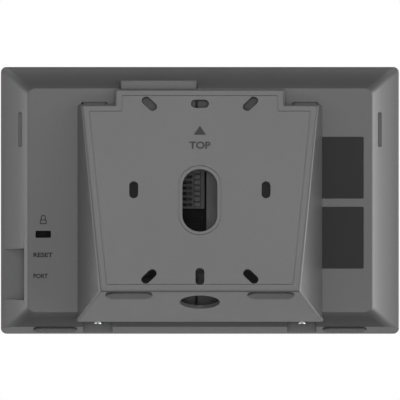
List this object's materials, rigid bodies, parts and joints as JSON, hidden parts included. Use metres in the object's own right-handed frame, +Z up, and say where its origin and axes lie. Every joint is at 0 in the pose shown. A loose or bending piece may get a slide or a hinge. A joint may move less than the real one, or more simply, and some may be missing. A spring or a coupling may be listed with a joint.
{
  "type": "digital photo frame on a desk stand",
  "caption": "Leaning flat display unit with a coved back, wiring bay and push-in terminals, on a wedge stand that is also a slotted wall plate.",
  "frame": {"origin": "on the desk under the middle of the object's box", "axes": "+X across the unit, +Y out of the stand's upright plate (the object's back), +Z up; the screen faces -Y and leans back 20 degrees"},
  "size_m": [0.182, 0.0608, 0.1162],
  "materials": {
    "casing": "fine-textured dark grey moulding",
    "stand_plastic": "fine-textured mid grey moulding",
    "dark_plastic": "near-black satin moulding",
    "cover_glass": "black-backed cover glass",
    "panel": "display panel",
    "clear_plastic": "clear light guide",
    "tin": "tinned sheet",
    "board": "green solder mask",
    "block_plastic": "dark grey terminal housing",
    "button_plastic": "dark grey push button",
    "steel": "plated steel",
    "brass": "turned brass",
    "rubber": "grey anti-slip rubber",
    "label_film": "blank dark label",
    "ribbon_film": "amber film"
  },
  "bodies": {
    "stand": {"stand_shell": "stand_plastic", "rear_pad_left": "rubber", "rear_pad_right": "rubber", "stand_screw_left": "steel", "stand_screw_right": "steel"},
    "display_unit": {"rear_cover": "casing", "front_frame": "dark_plastic", "cover_glass": "cover_glass", "lcd_panel": "panel", "light_guide": "clear_plastic", "backlight_tray": "tin", "main_board": "board", "terminal_block": "block_plastic", "port_socket": "steel", "reset_switch": "block_plastic", "lock_plate": "steel", "shield_can": "tin", "processor": "dark_plastic", "loudspeaker": "dark_plastic", "antenna_board": "board", "display_ribbon": "ribbon_film", "ribbon_socket": "dark_plastic", "cable_cover_top": "casing", "cable_cover_bottom": "casing", "label_upper": "label_film", "label_lower": "label_film", "front_pad_left": "rubber", "screw_insert_left": "brass", "front_pad_right": "rubber", "screw_insert_right": "brass", "terminal_clamp_1": "tin", "terminal_clamp_2": "tin", "terminal_clamp_3": "tin", "terminal_clamp_4": "tin", "terminal_clamp_5": "tin", "terminal_clamp_6": "tin", "terminal_clamp_7": "tin", "terminal_clamp_8": "tin", "board_screw_1": "steel", "tray_screw_1": "steel", "board_screw_2": "steel", "tray_screw_2": "steel", "board_screw_3": "steel", "tray_screw_3": "steel", "board_screw_4": "steel", "tray_screw_4": "steel"},
    "way_button_1": {"terminal_button_1": "button_plastic"},
    "way_button_2": {"terminal_button_2": "button_plastic"},
    "way_button_3": {"terminal_button_3": "button_plastic"},
    "way_button_4": {"terminal_button_4": "button_plastic"},
    "way_button_5": {"terminal_button_5": "button_plastic"},
    "way_button_6": {"terminal_button_6": "button_plastic"},
    "way_button_7": {"terminal_button_7": "button_plastic"},
    "way_button_8": {"terminal_button_8": "button_plastic"},
    "reset_plunger": {"reset_button": "button_plastic"}
  },
  "joints": [
    {"name": "unit_lift", "type": "slide", "parent": "stand", "child": "display_unit", "axis": [0, 0.342, 0.9397], "range_m": [0, 0.006]},
    {"name": "way_1_press", "type": "slide", "parent": "display_unit", "child": "way_button_1", "axis": [0, -0.9397, 0.342], "range_m": [0, 0.0013], "stiffness_N_per_m": 500},
    {"name": "way_2_press", "type": "slide", "parent": "display_unit", "child": "way_button_2", "axis": [0, -0.9397, 0.342], "range_m": [0, 0.0013], "stiffness_N_per_m": 500},
    {"name": "way_3_press", "type": "slide", "parent": "display_unit", "child": "way_button_3", "axis": [0, -0.9397, 0.342], "range_m": [0, 0.0013], "stiffness_N_per_m": 500},
    {"name": "way_4_press", "type": "slide", "parent": "display_unit", "child": "way_button_4", "axis": [0, -0.9397, 0.342], "range_m": [0, 0.0013], "stiffness_N_per_m": 500},
    {"name": "way_5_press", "type": "slide", "parent": "display_unit", "child": "way_button_5", "axis": [0, -0.9397, 0.342], "range_m": [0, 0.0013], "stiffness_N_per_m": 500},
    {"name": "way_6_press", "type": "slide", "parent": "display_unit", "child": "way_button_6", "axis": [0, -0.9397, 0.342], "range_m": [0, 0.0013], "stiffness_N_per_m": 500},
    {"name": "way_7_press", "type": "slide", "parent": "display_unit", "child": "way_button_7", "axis": [0, -0.9397, 0.342], "range_m": [0, 0.0013], "stiffness_N_per_m": 500},
    {"name": "way_8_press", "type": "slide", "parent": "display_unit", "child": "way_button_8", "axis": [0, -0.9397, 0.342], "range_m": [0, 0.0013], "stiffness_N_per_m": 500},
    {"name": "reset_press", "type": "slide", "parent": "display_unit", "child": "reset_plunger", "axis": [-1, 0, 0], "range_m": [0, 0.0003], "stiffness_N_per_m": 1000}
  ]
}
